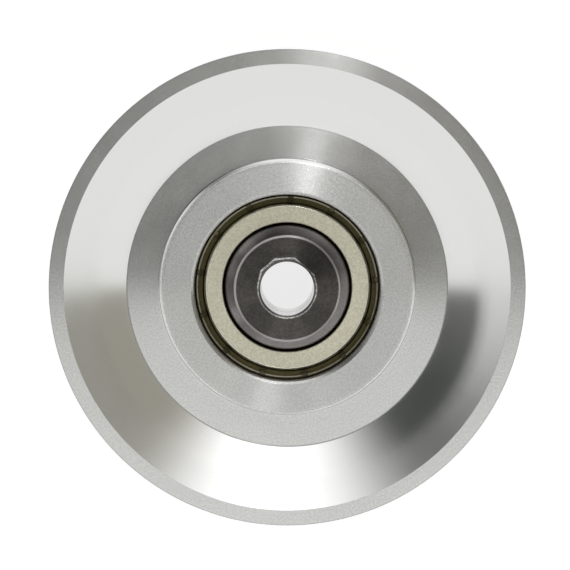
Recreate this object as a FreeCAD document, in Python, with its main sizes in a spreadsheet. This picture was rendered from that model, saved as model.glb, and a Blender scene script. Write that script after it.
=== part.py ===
# Rope pulley: a turned aluminium wheel with a V groove, on one shielded ball bearing
# that is carried by two stepped bushes.
# The axis of the wheel is Z and the origin is its centre, in the middle of the rope groove.
# The front of the wheel, with the fixed lip, faces +Z. All sizes are in millimetres.

import FreeCAD, Part
import Sketcher
import math
import os

os.makedirs("parts", exist_ok=True)
doc = FreeCAD.newDocument("ropePulley")

# The driving dimensions, each written once.
sheet = doc.addObject("Spreadsheet::Sheet", "Sizes")
drivingSizes = [
    ("wheelDiameter", 92.0, "wheel, over the rim"),
    ("rimBand", 2.9, "wheel, radial width of the flat band on the rim"),
    ("webThickness", 7.2, "wheel, web between the two dished sides"),
    ("webBand", 6.9, "wheel, radial width of the flat web round the hub"),
    ("hubWall", 4.45, "wheel, wall of the hub outside the bearing"),
    ("hubFoot", 0.9, "wheel, fillet where the hub meets the web"),
    ("wallThickness", 3.2, "wheel, between dish and rope groove, square to both"),
    ("ropeRadius", 3.5, "wheel, round bottom of the rope groove"),
    ("faceDepth", 3.75, "wheel, depth of each bearing face below its hub face"),
    ("lipHeight", 2.0, "wheel, how far the front lip covers the bearing"),
    ("lipChamfer", 0.6, "wheel, chamfer at the mouth of lip and bore"),
    ("edgeBreak", 0.25, "wheel, chamfer on rim and hub edges"),
    ("ringBore", 17.0, "bearing, bore of the inner ring"),
    ("ringOuter", 40.0, "bearing, outside of the outer ring"),
    ("ringWidth", 12.0, "bearing, width of both rings"),
    ("ringChamfer", 0.6, "bearing, corner chamfer of both rings"),
    ("ballShare", 0.5867, "bearing, ball diameter's share of the height of its section"),
    ("ballCount", 8, "bearing, balls in the cage"),
    ("ballPlay", 0.04, "bearing, ball to raceway, on each side"),
    ("raceExtra", 0.17, "bearing, raceway radius beyond the ball's"),
    ("innerShare", 0.347, "bearing, inner ring's edge above its raceway, share of the ball's radius"),
    ("landShare", 0.184, "bearing, inner ring's land above that edge, share of the ball's radius"),
    ("outerShare", 0.326, "bearing, outer raceway's shoulder, share of the ball's radius"),
    ("lipShare", 0.2, "bearing, outer ring's face outside the shield, share of the section's height"),
    ("shieldSeat", 1.5, "bearing, depth of the shield's seat below the ring face"),
    ("shieldThickness", 0.4, "shield, sheet"),
    ("shieldGap", 0.55, "shield, running gap round the inner ring's edge"),
    ("shieldRun", 0.25, "shield, running gap above the inner ring's land"),
    ("shieldRim", 1.24, "shield, radial width of its sunk rim"),
    ("shieldDrop", 0.85, "shield, drop from its raised flat to its sunk rim"),
    ("shieldStep", 0.6, "shield, radial width of that drop"),
    ("curlWidth", 0.45, "shield, radial width of the curled edge"),
    ("curlHeight", 0.35, "shield, rise of the curled edge"),
    ("notchCount", 13, "shield, crimp notches in the edge"),
    ("notchWidth", 1.0, "shield, crimp notch"),
    ("notchDepth", 0.75, "shield, crimp notch, from the edge inwards"),
    ("cageThickness", 0.55, "cage, sheet"),
    ("cageShare", 0.7114, "cage, radial width's share of the ball's radius"),
    ("pocketPlay", 0.13, "cage, ball to pocket"),
    ("rivetShare", 0.7, "rivet, head's share of the flat between two pockets"),
    ("shankShare", 0.6, "rivet, shank's share of its head"),
    ("rivetHeadHeight", 0.35, "rivet, height of a head"),
    ("headTopShare", 0.6, "rivet, flat top's share of its head"),
    ("boltHole", 10.3, "bush, hole for the axle bolt"),
    ("bushFlange", 1.8, "bush, how far the flange covers the inner ring"),
    ("bushStand", 6.5, "bush, flange height beyond the bearing face"),
    ("bushChamfer", 0.48, "bush, outer edge of the flange"),
    ("boltChamfer", 0.55, "bush, countersink of the hole"),
    ("clipThickness", 1.75, "circlip, plate"),
    ("clipPlay", 0.05, "circlip, to each side of its groove"),
    ("clipGroove", 1.25, "circlip, depth of its groove in the bore"),
    ("clipBack", 3.9, "circlip, radial width opposite its gap"),
    ("clipHorn", 2.3, "circlip, radial width beside its gap"),
    ("clipGap", 8.0, "circlip, gap between its ears"),
    ("earRadius", 2.6, "circlip, round ear"),
    ("earHole", 2.5, "circlip, hole in each ear"),
    ("earReach", 3.1, "circlip, hole centre to the outer edge"),
    ("shieldTurn", 87.6, "degrees from +X to a notch of the front shield"),
    ("clipTurn", 90.0, "degrees from +X to the circlip's gap"),
]
for row, (alias, value, note) in enumerate(drivingSizes, start=1):
    sheet.set(f"A{row}", note)
    sheet.set(f"B{row}", str(value))
    sheet.setAlias(f"B{row}", alias)
doc.recompute()

# Places that several pieces share, as expressions of the driving dimensions.
halfRing = "Sizes.ringWidth / 2"
boreRadius = "Sizes.ringBore / 2"
seatRadius = "Sizes.ringOuter / 2"
pitchRadius = "(Sizes.ringBore + Sizes.ringOuter) / 4"
ballRadius = "(Sizes.ballShare * (Sizes.ringOuter - Sizes.ringBore) / 4)"
innerRace = f"({pitchRadius} - {ballRadius} - Sizes.ballPlay)"
outerRace = f"({pitchRadius} + {ballRadius} + Sizes.ballPlay)"
innerEdge = f"({innerRace} + Sizes.innerShare * {ballRadius})"
innerLand = f"({innerEdge} + Sizes.landShare * {ballRadius})"
outerLand = f"({outerRace} - Sizes.outerShare * {ballRadius})"
recessRadius = f"({seatRadius} - Sizes.lipShare * (Sizes.ringOuter - Sizes.ringBore) / 2)"
shieldFloor = f"({halfRing} - Sizes.shieldSeat)"
shieldBack = f"({shieldFloor} + Sizes.shieldDrop)"
landEnd = f"({shieldBack} - Sizes.shieldRun)"
halfWheel = f"({halfRing} + Sizes.faceDepth)"
halfWeb = "Sizes.webThickness / 2"
rimRadius = "Sizes.wheelDiameter / 2"
hubRadius = f"({seatRadius} + Sizes.hubWall)"
lipRadius = f"({seatRadius} - Sizes.lipHeight)"
dishInner = f"({hubRadius} + Sizes.webBand)"
dishOuter = f"({rimRadius} - Sizes.rimBand)"
clipRadius = f"({seatRadius} + Sizes.clipGroove)"
bushEnd = f"({halfRing} + Sizes.bushStand)"
pocketRadius = f"({ballRadius} + Sizes.pocketPlay)"
shellRadius = f"({pocketRadius} + Sizes.cageThickness)"
cageHalf = f"({ballRadius} * Sizes.cageShare / 2)"
raceRadius = f"({ballRadius} + Sizes.raceExtra)"
cageLand = f"({pitchRadius} * sin(180 deg / Sizes.ballCount) * 2 - 2 * {shellRadius})"
rivetHead = f"({cageLand} * Sizes.rivetShare / 2)"
rivetRadius = f"({rivetHead} * Sizes.shankShare)"
holeRadius = "Sizes.boltHole / 2"
flangeRadius = f"({boreRadius} + Sizes.bushFlange)"
grooveMouth = f"({rimRadius} + Sizes.ropeRadius)"
dishSlope = f"(({halfWheel} - {halfWeb}) / ({dishOuter} - {dishInner}))"
tipHeight = f"({halfWheel} + Sizes.rimBand * {dishSlope} - Sizes.wallThickness * sqrt(1 + {dishSlope}^2))"
clipLow = f"-({halfRing} + Sizes.clipThickness + 2 * Sizes.clipPlay)"
ballCount = int(sheet.ballCount)


up = FreeCAD.Vector(0, 0, 1)
asDrawn = FreeCAD.Placement()
turnedOver = FreeCAD.Placement(FreeCAD.Vector(), FreeCAD.Rotation(FreeCAD.Vector(1, 0, 0), 180))


def turnedBy(angle):
    return FreeCAD.Placement(FreeCAD.Vector(), FreeCAD.Rotation(up, angle))


# The value of an expression of the sheet, as a plain number.
def evaluate(expression):
    return float(sheet.evalExpression(expression))


def newBody(label):
    body = doc.addObject("PartDesign::Body", label)
    body.Label = label
    return body


# A sketch on one of the body's origin planes.
def newSketch(body, name, role):
    sketch = body.newObject("Sketcher::SketchObject", name)
    plane = next(item for item in body.Origin.OriginFeatures if item.Role == role)
    sketch.AttachmentSupport = [(plane, "")]
    sketch.MapMode = "FlatFace"
    return sketch


# One dimension of a sketch, bound to an expression of the sheet.
def tie(sketch, kind, *places):
    *geometry, expression = places
    index = sketch.addConstraint(Sketcher.Constraint(kind, *geometry, evaluate(expression)))
    sketch.setExpression(f"Constraints[{index}]", expression)


# Place a point of a sketch. A coordinate of "0" puts it on the axis.
def tiePoint(sketch, index, position, across, along):
    if across == "0":
        sketch.addConstraint(Sketcher.Constraint("PointOnObject", index, position, -2))
    else:
        tie(sketch, "DistanceX", -1, 1, index, position, across)
    if along == "0":
        sketch.addConstraint(Sketcher.Constraint("PointOnObject", index, position, -1))
    else:
        tie(sketch, "DistanceY", -1, 1, index, position, along)


# A closed outline of straight lines, with every corner placed.
def polygon(sketch, corners):
    points = [FreeCAD.Vector(evaluate(across), evaluate(along), 0) for across, along in corners]
    first = sketch.GeometryCount
    count = len(points)
    for number in range(count):
        sketch.addGeometry(Part.LineSegment(points[number], points[(number + 1) % count]))
    for number in range(count):
        following = first + (number + 1) % count
        sketch.addConstraint(Sketcher.Constraint("Coincident", first + number, 2, following, 1))
    for number, (across, along) in enumerate(corners):
        tiePoint(sketch, first + number, 1, across, along)


def circle(sketch, across, along, radius):
    centre = FreeCAD.Vector(evaluate(across), evaluate(along), 0)
    index = sketch.addGeometry(Part.Circle(centre, up, evaluate(radius)))
    tie(sketch, "Radius", index, radius)
    tiePoint(sketch, index, 3, across, along)


# A sketch turned about the axis, to add material (Revolution) or to cut it (Groove).
def turned(body, kind, name, sketch):
    feature = body.newObject(f"PartDesign::{kind}", name)
    feature.Profile = sketch
    feature.ReferenceAxis = (sketch, ["V_Axis"])
    feature.Angle = 360
    doc.recompute()
    return feature


# Dress the round edges found at the given radii and heights with a Chamfer or a Fillet.
def dressed(body, kind, name, expression, places):
    base = body.Tip
    wanted = [(evaluate(radius), evaluate(height)) for radius, height in places]
    edges = []
    for number, edge in enumerate(base.Shape.Edges, start=1):
        curve = edge.Curve
        if not isinstance(curve, Part.Circle):
            continue
        for radius, height in wanted:
            if abs(curve.Radius - radius) < 0.001 and abs(curve.Center.z - height) < 0.001:
                edges.append(f"Edge{number}")
    if len(edges) < len(wanted):
        raise RuntimeError(f"{name}: {len(edges)} of {len(wanted)} edges found")
    feature = body.newObject(f"PartDesign::{kind}", name)
    feature.Base = (base, edges)
    feature.setExpression("Radius" if kind == "Fillet" else "Size", expression)
    doc.recompute()
    return feature


# The V of the rope groove. Its flanks run parallel to the dished sides, a wall away from
# them, and its round bottom is tangent to both. The sketch closes outside the rim.
def ropeProfile(sketch):
    innerPoint = FreeCAD.Vector(evaluate(dishInner), evaluate(halfWeb), 0)
    outerPoint = FreeCAD.Vector(evaluate(dishOuter), evaluate(halfWheel), 0)
    slope = (outerPoint - innerPoint).normalize()
    normal = FreeCAD.Vector(slope.y, -slope.x, 0)
    onFlank = outerPoint + normal * evaluate("Sizes.wallThickness")
    radius = evaluate("Sizes.ropeRadius")
    centre = FreeCAD.Vector(onFlank.x + (radius + normal.y * onFlank.y) / normal.x, 0, 0)
    bottom = centre - normal * radius
    outside = onFlank + slope * ((evaluate(grooveMouth) - onFlank.x) / slope.x)

    def flipped(point):
        return FreeCAD.Vector(point.x, -point.y, 0)

    turn = math.atan2(-normal.y, -normal.x)
    dish = sketch.addGeometry(Part.LineSegment(innerPoint, outerPoint), True)
    front = sketch.addGeometry(Part.LineSegment(outside, bottom))
    arc = sketch.addGeometry(Part.ArcOfCircle(Part.Circle(centre, up, radius), turn, -turn + 2 * math.pi))
    rear = sketch.addGeometry(Part.LineSegment(flipped(bottom), flipped(outside)))
    mouth = sketch.addGeometry(Part.LineSegment(flipped(outside), outside))
    tiePoint(sketch, dish, 1, dishInner, halfWeb)
    tiePoint(sketch, dish, 2, dishOuter, halfWheel)
    sketch.addConstraint(Sketcher.Constraint("Parallel", dish, front))
    tie(sketch, "Distance", dish, 2, front, "Sizes.wallThickness")
    tie(sketch, "DistanceX", -1, 1, front, 1, grooveMouth)
    tie(sketch, "Radius", arc, "Sizes.ropeRadius")
    sketch.addConstraint(Sketcher.Constraint("PointOnObject", arc, 3, -1))
    sketch.addConstraint(Sketcher.Constraint("Tangent", front, 2, arc, 1))
    sketch.addConstraint(Sketcher.Constraint("Tangent", arc, 2, rear, 1))
    sketch.addConstraint(Sketcher.Constraint("Symmetric", front, 1, rear, 2, -1))
    sketch.addConstraint(Sketcher.Constraint("Coincident", rear, 2, mouth, 1))
    sketch.addConstraint(Sketcher.Constraint("Coincident", mouth, 2, front, 1))


# The wheel, turned from the solid: hub, thin web, two dished sides and the rim, then the
# rope groove, the bore with its front lip, and the groove for the circlip.
def makeSheave():
    body = newBody("sheave")
    blank = newSketch(body, "sheaveSection", "XZ_Plane")
    polygon(blank, [
        (seatRadius, f"-{halfWheel}"),
        (hubRadius, f"-{halfWheel}"),
        (hubRadius, f"-{halfWeb}"),
        (dishInner, f"-{halfWeb}"),
        (dishOuter, f"-{halfWheel}"),
        (rimRadius, f"-{halfWheel}"),
        (rimRadius, halfWheel),
        (dishOuter, halfWheel),
        (dishInner, halfWeb),
        (hubRadius, halfWeb),
        (hubRadius, halfWheel),
        (lipRadius, halfWheel),
        (lipRadius, halfRing),
        (seatRadius, halfRing),
    ])
    turned(body, "Revolution", "sheaveBlank", blank)
    rope = newSketch(body, "ropeSection", "XZ_Plane")
    ropeProfile(rope)
    turned(body, "Groove", "ropeGroove", rope)
    clip = newSketch(body, "clipSection", "XZ_Plane")
    polygon(clip, [
        (lipRadius, f"-{halfRing}"),
        (clipRadius, f"-{halfRing}"),
        (clipRadius, clipLow),
        (lipRadius, clipLow),
    ])
    turned(body, "Groove", "clipGroove", clip)
    dressed(body, "Fillet", "hubFeet", "Sizes.hubFoot",
            [(hubRadius, halfWeb), (hubRadius, f"-{halfWeb}")])
    dressed(body, "Chamfer", "boreMouths", "Sizes.lipChamfer",
            [(lipRadius, halfWheel), (seatRadius, f"-{halfWheel}")])
    dressed(body, "Chamfer", "outerEdges", "Sizes.edgeBreak",
            [(rimRadius, halfWheel), (rimRadius, f"-{halfWheel}"),
             (rimRadius, tipHeight), (rimRadius, f"-{tipHeight}"),
             (hubRadius, halfWheel), (hubRadius, f"-{halfWheel}")])
    return body


# The bearing's rings, each with a round raceway. The outer ring has a seat for a shield
# in both ends.
def makeOuterRing():
    body = newBody("bearing_outer_ring")
    section = newSketch(body, "outerRingSection", "XZ_Plane")
    polygon(section, [
        (seatRadius, f"-{halfRing}"),
        (seatRadius, halfRing),
        (recessRadius, halfRing),
        (recessRadius, shieldFloor),
        (outerLand, shieldFloor),
        (outerLand, f"-{shieldFloor}"),
        (recessRadius, f"-{shieldFloor}"),
        (recessRadius, f"-{halfRing}"),
    ])
    turned(body, "Revolution", "outerRingBlank", section)
    race = newSketch(body, "outerRaceSection", "XZ_Plane")
    circle(race, f"{outerRace} - {raceRadius}", "0", raceRadius)
    turned(body, "Groove", "outerRaceway", race)
    dressed(body, "Chamfer", "outerRingCorners", "Sizes.ringChamfer",
            [(seatRadius, halfRing), (seatRadius, f"-{halfRing}")])
    return body


# The inner ring steps in under each shield, so that the shield's edge covers its land.
def makeInnerRing():
    body = newBody("bearing_inner_ring")
    section = newSketch(body, "innerRingSection", "XZ_Plane")
    polygon(section, [
        (boreRadius, f"-{halfRing}"),
        (innerEdge, f"-{halfRing}"),
        (innerEdge, f"-{landEnd}"),
        (innerLand, f"-{landEnd}"),
        (innerLand, landEnd),
        (innerEdge, landEnd),
        (innerEdge, halfRing),
        (boreRadius, halfRing),
    ])
    turned(body, "Revolution", "innerRingBlank", section)
    race = newSketch(body, "innerRaceSection", "XZ_Plane")
    circle(race, f"{innerRace} + {raceRadius}", "0", raceRadius)
    turned(body, "Groove", "innerRaceway", race)
    dressed(body, "Chamfer", "innerRingBore", "Sizes.ringChamfer",
            [(boreRadius, halfRing), (boreRadius, f"-{halfRing}")])
    dressed(body, "Chamfer", "innerRingEdges", "Sizes.edgeBreak",
            [(innerEdge, halfRing), (innerEdge, f"-{halfRing}")])
    return body


# A pressed shield: a raised flat round the inner ring, a step down to a sunk rim that
# rests on the outer ring's shoulder, and a curled edge crimped at even notches.
def makeShield(label, placement):
    body = newBody(label)
    section = newSketch(body, f"{label}_section", "XZ_Plane")
    stepEdge = f"({recessRadius} - Sizes.shieldRim)"
    flatEdge = f"({stepEdge} - Sizes.shieldStep)"
    curlStart = f"({recessRadius} - Sizes.curlWidth)"
    shieldBore = f"{innerEdge} + Sizes.shieldGap"
    polygon(section, [
        (shieldBore, shieldBack),
        (flatEdge, shieldBack),
        (stepEdge, shieldFloor),
        (curlStart, shieldFloor),
        (recessRadius, f"{shieldFloor} + Sizes.curlHeight"),
        (recessRadius, f"{shieldFloor} + Sizes.curlHeight + Sizes.shieldThickness"),
        (curlStart, f"{shieldFloor} + Sizes.shieldThickness"),
        (stepEdge, f"{shieldFloor} + Sizes.shieldThickness"),
        (flatEdge, f"{shieldBack} + Sizes.shieldThickness"),
        (shieldBore, f"{shieldBack} + Sizes.shieldThickness"),
    ])
    turned(body, "Revolution", f"{label}_disc", section)
    notch = newSketch(body, f"{label}_notchOutline", "XY_Plane")
    notchInner = f"{recessRadius} - Sizes.notchDepth"
    polygon(notch, [
        (notchInner, "-Sizes.notchWidth / 2"),
        (seatRadius, "-Sizes.notchWidth / 2"),
        (seatRadius, "Sizes.notchWidth / 2"),
        (notchInner, "Sizes.notchWidth / 2"),
    ])
    pocket = body.newObject("PartDesign::Pocket", f"{label}_notch")
    pocket.Profile = notch
    pocket.Type = "ThroughAll"
    pocket.Midplane = True
    doc.recompute()
    pattern = body.newObject("PartDesign::PolarPattern", f"{label}_notches")
    pattern.Originals = [pocket]
    pattern.Axis = (notch, ["N_Axis"])
    pattern.Angle = 360
    pattern.setExpression("Occurrences", "Sizes.notchCount")
    body.Tip = pattern
    body.Placement = placement
    return body


# The place of ball or rivet number step on the pitch circle, as expressions.
def onPitch(step):
    angle = f"{step} * 360 deg / Sizes.ballCount"
    return f"{pitchRadius} * cos({angle})", f"{pitchRadius} * sin({angle})"


def sphere(name, radius, step):
    ball = doc.addObject("Part::Sphere", name)
    ball.setExpression("Radius", radius)
    across, along = onPitch(step)
    ball.setExpression("Placement.Base.x", across)
    ball.setExpression("Placement.Base.y", along)
    return ball


def cylinder(name, radius, height):
    solid = doc.addObject("Part::Cylinder", name)
    solid.setExpression("Radius", radius)
    solid.setExpression("Height", height)
    return solid


def boolean(kind, name, base, tool):
    result = doc.addObject(f"Part::{kind}", name)
    result.Base = base
    result.Tool = tool
    return result


def fused(name, shapes):
    result = doc.addObject("Part::MultiFuse", name)
    result.Shapes = shapes
    return result


# One half of the pressed cage: a flat ring with a domed pocket over each ball and a
# rivet hole between the pockets. The halves meet in the middle plane.
def makeCage(label, placement):
    outer = cylinder(f"{label}_outside", f"{pitchRadius} + {cageHalf}", shellRadius)
    inner = cylinder(f"{label}_inside", f"{pitchRadius} - {cageHalf}", shellRadius)
    band = boolean("Cut", f"{label}_band", outer, inner)
    sheetDisc = cylinder(f"{label}_sheet", seatRadius, "Sizes.cageThickness")
    domes = [sphere(f"{label}_dome_{number}", shellRadius, number) for number in range(ballCount)]
    pressed = fused(f"{label}_pressed", [sheetDisc] + domes)
    formed = boolean("Common", f"{label}_formed", band, pressed)
    pockets = [sphere(f"{label}_pocket_{number}", pocketRadius, number) for number in range(ballCount)]
    holes = []
    for number in range(ballCount):
        hole = cylinder(f"{label}_hole_{number}", rivetRadius, "Sizes.cageThickness")
        across, along = onPitch(f"({number} + 0.5)")
        hole.setExpression("Placement.Base.x", across)
        hole.setExpression("Placement.Base.y", along)
        holes.append(hole)
    cage = boolean("Cut", label, formed, fused(f"{label}_openings", pockets + holes))
    cage.Label = label
    cage.Placement = placement
    return cage


def makeBalls():
    balls = []
    for number in range(ballCount):
        ball = sphere(f"ball_{number + 1}", ballRadius, number)
        ball.Label = f"ball_{number + 1}"
        balls.append(ball)
    return balls


# A rivet with a flat-topped cone for a head on both ends.
def makeRivet(number):
    body = newBody(f"rivet_{number + 1}")
    section = newSketch(body, f"rivetSection_{number + 1}", "XZ_Plane")
    top = "(Sizes.cageThickness + Sizes.rivetHeadHeight)"
    polygon(section, [
        ("0", f"-{top}"),
        (f"{rivetHead} * Sizes.headTopShare", f"-{top}"),
        (rivetHead, "-Sizes.cageThickness"),
        (rivetRadius, "-Sizes.cageThickness"),
        (rivetRadius, "Sizes.cageThickness"),
        (rivetHead, "Sizes.cageThickness"),
        (f"{rivetHead} * Sizes.headTopShare", top),
        ("0", top),
    ])
    turned(body, "Revolution", f"rivetTurned_{number + 1}", section)
    across, along = onPitch(f"({number} + 0.5)")
    body.setExpression("Placement.Base.x", across)
    body.setExpression("Placement.Base.y", along)
    return body


# A top-hat bush: the spigot fills half of the inner ring's bore and the flange bears on
# the inner ring's face.
def makeBush(label, placement):
    body = newBody(label)
    section = newSketch(body, f"{label}_section", "XZ_Plane")
    polygon(section, [
        (holeRadius, "0"),
        (boreRadius, "0"),
        (boreRadius, halfRing),
        (flangeRadius, halfRing),
        (flangeRadius, bushEnd),
        (holeRadius, bushEnd),
    ])
    turned(body, "Revolution", f"{label}_blank", section)
    dressed(body, "Chamfer", f"{label}_flangeEdge", "Sizes.bushChamfer", [(flangeRadius, bushEnd)])
    dressed(body, "Chamfer", f"{label}_countersink", "Sizes.boltChamfer", [(holeRadius, bushEnd)])
    dressed(body, "Chamfer", f"{label}_spigotEnd", "Sizes.edgeBreak", [(boreRadius, "0"), (holeRadius, "0")])
    body.Placement = placement
    return body


# The circlip behind the bearing: a plate whose width falls off from its back to its gap,
# with a round, drilled ear on each side of the gap.
def makeCirclip():
    body = newBody("circlip")
    outline = newSketch(body, "clipOutline", "XY_Plane")
    circle(outline, "0", "0", clipRadius)
    circle(outline, "(Sizes.clipBack - Sizes.clipHorn) / 2", "0",
           f"{clipRadius} - (Sizes.clipBack + Sizes.clipHorn) / 2")
    plate = body.newObject("PartDesign::Pad", "clipPlate")
    plate.Profile = outline
    plate.setExpression("Length", "Sizes.clipThickness")
    doc.recompute()
    earSide = "(Sizes.clipGap / 2 + Sizes.earRadius)"
    earOut = f"sqrt(({clipRadius} - Sizes.earReach)^2 - {earSide}^2)"
    ears = newSketch(body, "earOutlines", "XY_Plane")
    circle(ears, earOut, earSide, "Sizes.earRadius")
    circle(ears, earOut, f"-{earSide}", "Sizes.earRadius")
    earPad = body.newObject("PartDesign::Pad", "clipEars")
    earPad.Profile = ears
    earPad.setExpression("Length", "Sizes.clipThickness")
    doc.recompute()
    cuts = newSketch(body, "clipCuts", "XY_Plane")
    circle(cuts, earOut, earSide, "Sizes.earHole / 2")
    circle(cuts, earOut, f"-{earSide}", "Sizes.earHole / 2")
    polygon(cuts, [
        (pitchRadius, "-Sizes.clipGap / 2"),
        (grooveMouth, "-Sizes.clipGap / 2"),
        (grooveMouth, "Sizes.clipGap / 2"),
        (pitchRadius, "Sizes.clipGap / 2"),
    ])
    opening = body.newObject("PartDesign::Pocket", "clipOpening")
    opening.Profile = cuts
    opening.Type = "ThroughAll"
    opening.Midplane = True
    doc.recompute()
    body.Placement = turnedBy(sheet.clipTurn)
    body.setExpression("Placement.Base.z", f"-{halfRing} - Sizes.clipPlay - Sizes.clipThickness")
    return body


subParts = [makeSheave(), makeOuterRing(), makeInnerRing()]
subParts += makeBalls()
subParts += [makeCage("cage_front", asDrawn), makeCage("cage_rear", turnedOver)]
subParts += [makeRivet(number) for number in range(ballCount)]
subParts += [makeShield("shield_front", turnedBy(sheet.shieldTurn)), makeShield("shield_rear", turnedOver)]
subParts += [makeBush("bush_front", asDrawn), makeBush("bush_rear", turnedOver)]
subParts += [makeCirclip()]
doc.recompute()

# Nothing is written unless every object of the document is sound.
for item in doc.Objects:
    if "Invalid" in item.State or "Error" in item.State:
        raise RuntimeError(f"{item.Name}: {item.State}")
for item in subParts:
    if item.Shape.isNull() or not item.Shape.isValid():
        raise RuntimeError(f"{item.Label}: no valid shape")
    if len(item.Shape.Solids) != 1:
        raise RuntimeError(f"{item.Label}: {len(item.Shape.Solids)} solids")
for item in subParts:
    item.Shape.exportStep(f"parts/{item.Label}.step")
    print(item.Label, round(item.Shape.Volume, 3))
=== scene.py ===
import bpy
import math
import numpy as np
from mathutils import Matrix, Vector


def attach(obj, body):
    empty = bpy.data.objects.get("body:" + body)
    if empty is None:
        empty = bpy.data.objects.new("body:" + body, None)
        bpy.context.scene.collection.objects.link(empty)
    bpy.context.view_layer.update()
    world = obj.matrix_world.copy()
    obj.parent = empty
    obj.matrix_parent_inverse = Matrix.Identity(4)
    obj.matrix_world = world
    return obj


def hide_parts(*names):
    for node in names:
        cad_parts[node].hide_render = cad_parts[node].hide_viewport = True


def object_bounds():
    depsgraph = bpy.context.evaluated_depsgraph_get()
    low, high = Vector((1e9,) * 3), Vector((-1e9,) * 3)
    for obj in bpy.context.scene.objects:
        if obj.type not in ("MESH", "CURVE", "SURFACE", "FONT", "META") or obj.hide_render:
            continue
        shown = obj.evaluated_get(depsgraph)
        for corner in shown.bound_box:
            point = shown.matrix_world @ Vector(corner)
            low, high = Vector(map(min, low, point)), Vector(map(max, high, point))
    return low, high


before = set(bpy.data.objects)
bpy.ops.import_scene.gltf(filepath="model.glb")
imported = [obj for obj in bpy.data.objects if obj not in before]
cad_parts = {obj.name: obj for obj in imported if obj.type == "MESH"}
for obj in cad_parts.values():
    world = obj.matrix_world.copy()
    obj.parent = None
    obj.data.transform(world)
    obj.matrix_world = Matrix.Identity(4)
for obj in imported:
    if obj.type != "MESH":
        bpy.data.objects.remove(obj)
cadBox = [list(corner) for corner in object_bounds()]
print("frame loaded")

mm = 0.001
scene = bpy.context.scene
dice = np.random.default_rng(17)


# A closed outline in the half plane (radius, height), in mm, run with the metal on its left. Every corner
# (radius, height, round) becomes an arc tangent to both of its sides: centre + side * round * n, where the
# unit normal n turns evenly from the normal of one side to that of the next. The number of steps on an arc
# keeps the chords within the sagitta.
def roundedOutline(corners, sagitta=0.002, fewest=3):
    corner = np.array(corners, float)
    place, rounding = corner[:, :2], corner[:, 2]
    along = np.roll(place, -1, 0) - place
    after = along / np.linalg.norm(along, axis=1)[:, None]
    before = np.roll(after, 1, 0)
    turn = np.arctan2(before[:, 0] * after[:, 1] - before[:, 1] * after[:, 0], (before * after).sum(1))
    side = np.sign(turn)
    start = np.arctan2(-before[:, 0], before[:, 1])
    middle = start + turn / 2
    reach = side * rounding / np.cos(turn / 2)
    centre = place - reach[:, None] * np.stack([np.cos(middle), np.sin(middle)], 1)
    wanted = np.ceil(np.abs(turn) / (2 * np.sqrt(2 * sagitta / rounding)))
    steps = np.maximum(fewest, wanted).astype(int)
    which = np.repeat(np.arange(len(corner)), steps + 1)
    first = np.repeat(np.cumsum(steps + 1) - (steps + 1), steps + 1)
    share = (np.arange(len(which)) - first) / steps[which]
    angle = start[which] + turn[which] * share
    normal = np.stack([np.cos(angle), np.sin(angle)], 1)
    point = centre[which] + (side * rounding)[which, None] * normal
    return point, normal


# The same corners below the middle plane, in the order that carries an outline on.
def flipped(corners):
    return [(radius, -height, soft) for radius, height, soft in reversed(corners)]


# The same outline with more points on its long straight sides, evenly spaced along its length. A new point
# closer to an old one than a share of the spacing is left out.
def refined(point, normal, spacing, closest=0.3):
    closed = np.vstack([point, point[:1]])
    turned = np.vstack([normal, normal[:1]])
    reach = np.concatenate([[0], np.cumsum(np.linalg.norm(np.diff(closed, axis=0), axis=1))])
    extra = np.arange(spacing, reach[-1], spacing)
    gap = np.abs(extra[:, None] - reach[None]).min(1)
    where = np.sort(np.concatenate([reach[:-1], extra[gap > spacing * closest]]))

    def sampled(columns):
        return np.stack([np.interp(where, reach, column) for column in columns.T], 1)

    return sampled(closed), sampled(turned)


# The same outline with two points more on each long side, close to its ends, so that wear at an edge ends there.
def supported(point, normal, reach=0.7, longest=1.8):
    following = np.roll(point, -1, 0)
    length = np.linalg.norm(following - point, axis=1)
    long = length > longest
    share = np.where(long, reach / np.maximum(length, reach), 0)[:, None]
    blocks = np.stack([point, point + share * (following - point), following - share * (following - point)], 1)
    turned = np.repeat(normal[:, None], 3, 1)
    keep = np.stack([np.ones_like(long), long, long], 1)
    return blocks[keep], turned[keep]


# A grid of points in mm, closed both ways, as a mesh in metres.
def gridMesh(name, points, normals, zones=None):
    count, across = points.shape[:2]
    i, j = np.meshgrid(np.arange(count), np.arange(across), indexing="ij")
    nextI, nextJ = (i + 1) % count, (j + 1) % across
    quads = np.stack([i * across + j, nextI * across + j, nextI * across + nextJ, i * across + nextJ], -1)
    mesh = bpy.data.meshes.new(name)
    mesh.vertices.add(count * across)
    mesh.vertices.foreach_set("co", (points * mm).astype(np.float32).ravel())
    mesh.loops.add(quads.size)
    mesh.loops.foreach_set("vertex_index", quads.astype(np.int32).ravel())
    mesh.polygons.add(count * across)
    mesh.polygons.foreach_set("loop_start", np.arange(0, quads.size, 4, dtype=np.int32))
    if zones is not None:
        mesh.polygons.foreach_set("material_index", np.tile(zones, count).astype(np.int32))
    mesh.update(calc_edges=True)
    mesh.shade_smooth()
    mesh.normals_split_custom_set_from_vertices(normals.reshape(-1, 3).astype(np.float32))
    return mesh


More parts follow.
